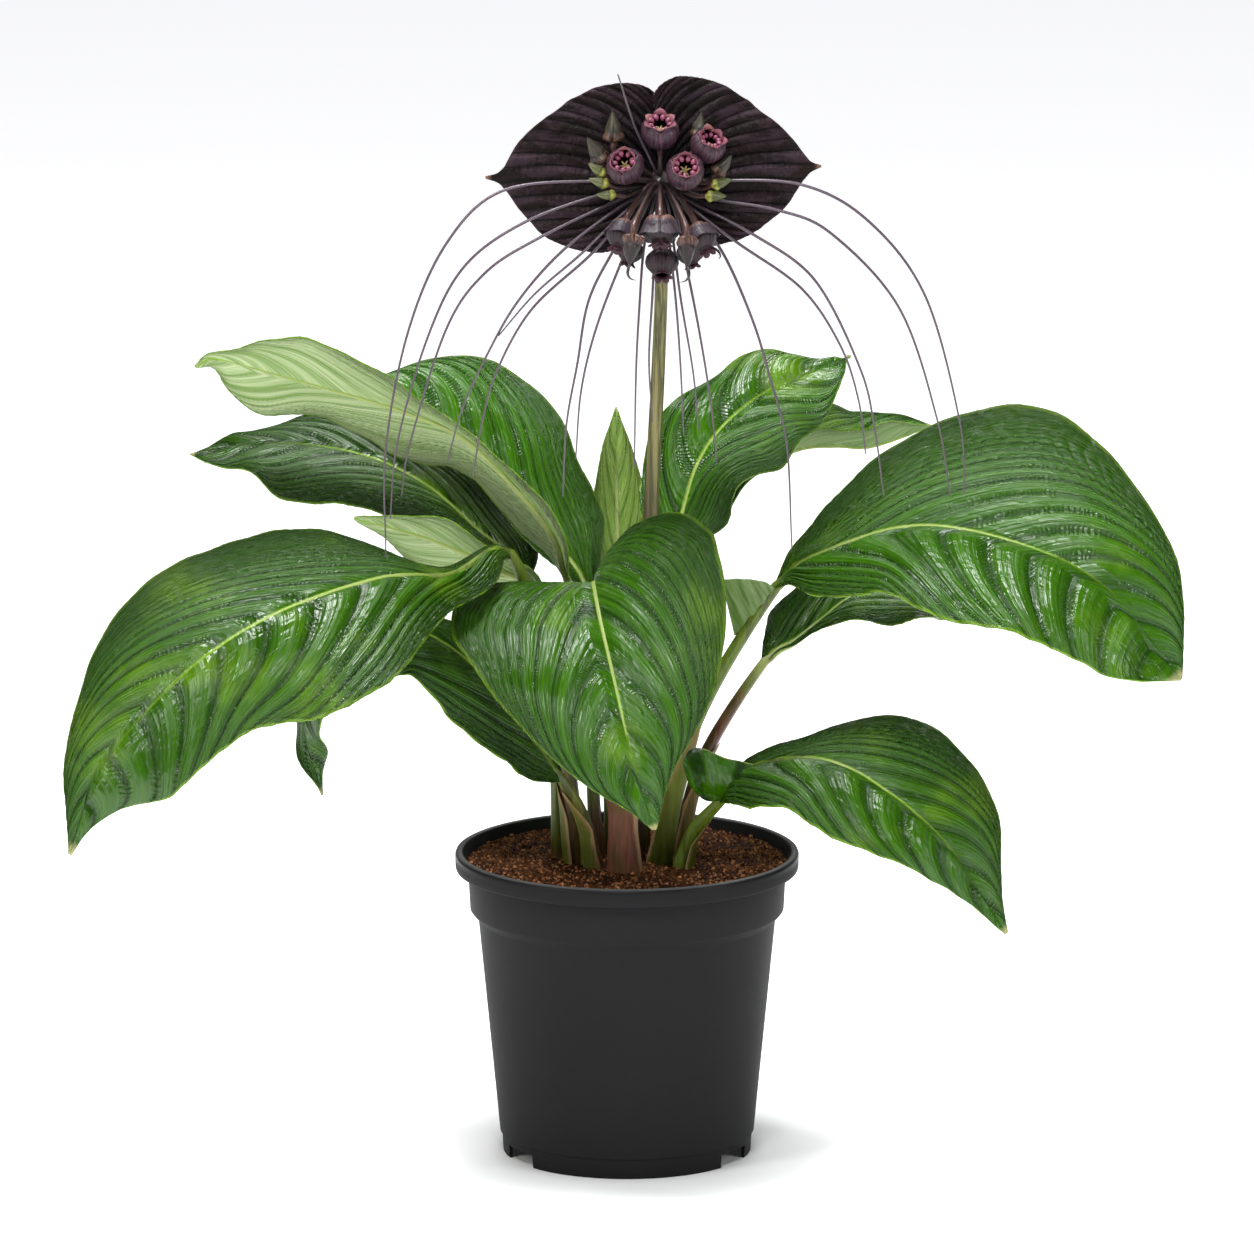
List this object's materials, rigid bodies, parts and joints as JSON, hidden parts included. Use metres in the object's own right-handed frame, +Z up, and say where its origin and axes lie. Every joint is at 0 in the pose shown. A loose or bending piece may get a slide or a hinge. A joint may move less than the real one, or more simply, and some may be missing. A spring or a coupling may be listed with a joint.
{
  "type": "potted bat flower",
  "caption": "Bat flower in bloom in a round nursery pot: pleated glossy leaves on long stalks, and a dark bloom with two bracts and long hanging whiskers.",
  "frame": {"origin": "centre of the pot's underside, on the surface that the pot stands on", "axes": "+Z up along the pot's axis; the bloom and the front leaf look along -Y; +X is the right-hand side as seen from the front"},
  "size_m": [0.6078, 0.2749, 0.6091],
  "materials": {
    "pot_plastic": "charcoal black moulded plastic, satin",
    "soil": "dark brown crumbly potting soil",
    "leaf": "glossy living leaf, deep green with pale veins and green to brown stalks",
    "scape": "living flower stem, olive green and purple brown",
    "bract": "velvety purple-black bract with a grey sheen",
    "umbel": "dark copper-brown flower stalks and grey-lilac whiskers",
    "open_flower": "mauve, finely striped tepals with a dark maroon mouth",
    "drooping_flower": "grey purple with copper lights",
    "brown_bud": "bronze brown with a grey-green point",
    "green_bud": "yellow green, speckled, with a dark point"
  },
  "bodies": {
    "root": {"pot": "pot_plastic", "soil": "soil", "leaf_front_left": "leaf", "leaf_front": "leaf", "leaf_low_left": "leaf", "leaf_high_left": "leaf", "leaf_back_left": "leaf", "leaf_mid_left": "leaf", "leaf_inner_left": "leaf", "leaf_young": "leaf", "leaf_back_right": "leaf", "leaf_far_right": "leaf", "leaf_right": "leaf", "leaf_under_right": "leaf", "leaf_low_right": "leaf", "scape": "scape", "bract_left": "bract", "bract_right": "bract", "umbel": "umbel", "flower_top": "open_flower", "flower_upper_right": "open_flower", "flower_left": "open_flower", "flower_right": "open_flower", "drooping_flower_front": "drooping_flower", "drooping_flower_middle": "drooping_flower", "drooping_flower_left": "drooping_flower", "drooping_flower_right": "drooping_flower", "drooping_flower_low_left": "drooping_flower", "drooping_flower_low_right": "drooping_flower", "hanging_bud_left": "drooping_flower", "hanging_bud_right": "drooping_flower", "brown_bud_upper_left": "brown_bud", "brown_bud_left": "brown_bud", "brown_bud_upper_right": "brown_bud", "brown_bud_right": "brown_bud", "green_bud_left_high": "green_bud", "green_bud_left_middle": "green_bud", "green_bud_left_low": "green_bud", "green_bud_right_high": "green_bud", "green_bud_right_low": "green_bud"}
  },
  "joints": []
}
